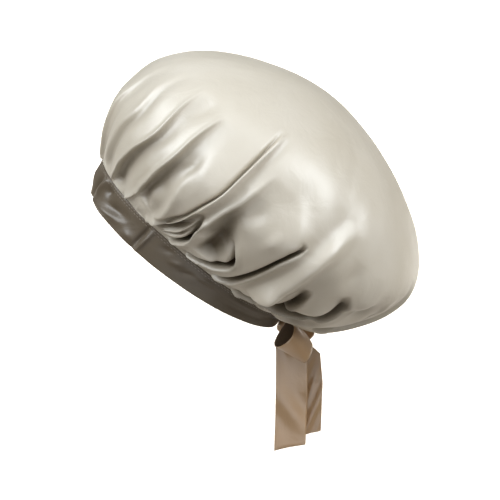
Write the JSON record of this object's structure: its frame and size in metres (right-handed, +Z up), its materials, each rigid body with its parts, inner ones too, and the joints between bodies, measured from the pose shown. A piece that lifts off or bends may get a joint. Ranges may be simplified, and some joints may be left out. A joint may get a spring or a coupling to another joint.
{
  "type": "sleep bonnet",
  "caption": "Soft satin sleep bonnet: a puffed crown gathered onto a flat band, with a small ribbon bow and hanging tails at the nape.",
  "frame": {"origin": "The middle of the head opening, halfway across the band: the mount head_seat.", "axes": "+Z up as worn, the wearer faces -Y, +X is the wearer's left. The opening is tilted 38 degrees, its nape end low."},
  "size_m": [0.2703, 0.2841, 0.3571],
  "materials": {
    "crown_satin": "champagne satin, woven, glossy face out",
    "band_satin": "the crown's satin, doubled and topstitched",
    "ribbon_satin": "satin ribbon, a little deeper in tone"
  },
  "bodies": {
    "root": {"crown": "crown_satin", "band": "band_satin", "knot": "ribbon_satin", "bow_loop_left": "ribbon_satin", "bow_loop_right": "ribbon_satin", "tail_left": "ribbon_satin", "tail_right": "ribbon_satin"}
  },
  "joints": []
}
